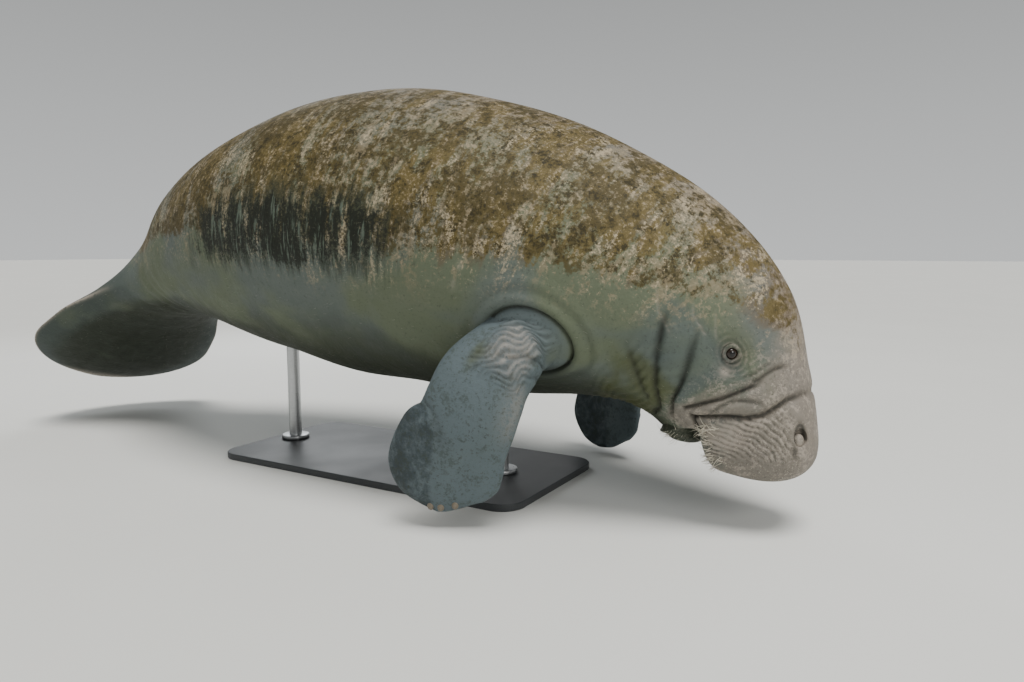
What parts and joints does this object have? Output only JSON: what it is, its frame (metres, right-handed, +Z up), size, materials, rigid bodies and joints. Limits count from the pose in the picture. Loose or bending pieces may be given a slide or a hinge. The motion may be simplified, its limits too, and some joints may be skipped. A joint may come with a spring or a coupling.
{
  "type": "manatee",
  "caption": "Life-size manatee model with its head bent down to feed, two flippers hanging and a round paddle tail, held over a flat base by two short rods.",
  "frame": {"origin": "centre of the stand base's underside", "axes": "+X towards the head along the animal's length, +Y to the animal's left, +Z up"},
  "size_m": [2.593, 0.8578, 1.0403],
  "materials": {
    "body_skin": "satin",
    "muzzle_skin": "satin",
    "flipper_skin": "satin",
    "tail_skin": "satin",
    "eye": "gloss",
    "nail": "satin",
    "stand_base": "satin",
    "stand_rod": "brushed"
  },
  "bodies": {
    "root": {"muzzle": "muzzle_skin", "lower_jaw": "muzzle_skin", "head": "body_skin", "neck": "body_skin", "chest": "body_skin", "trunk_middle": "body_skin", "trunk_rear": "body_skin", "tail_stock": "body_skin", "tail_paddle": "tail_skin", "eye_right": "eye", "flipper_right_arm": "flipper_skin", "flipper_right_hand": "flipper_skin", "nail_right_1": "nail", "nail_right_2": "nail", "nail_right_3": "nail", "eye_left": "eye", "flipper_left_arm": "flipper_skin", "flipper_left_hand": "flipper_skin", "nail_left_1": "nail", "nail_left_2": "nail", "nail_left_3": "nail", "stand_base": "stand_base", "stand_rod_front": "stand_rod", "stand_rod_rear": "stand_rod"}
  },
  "joints": []
}
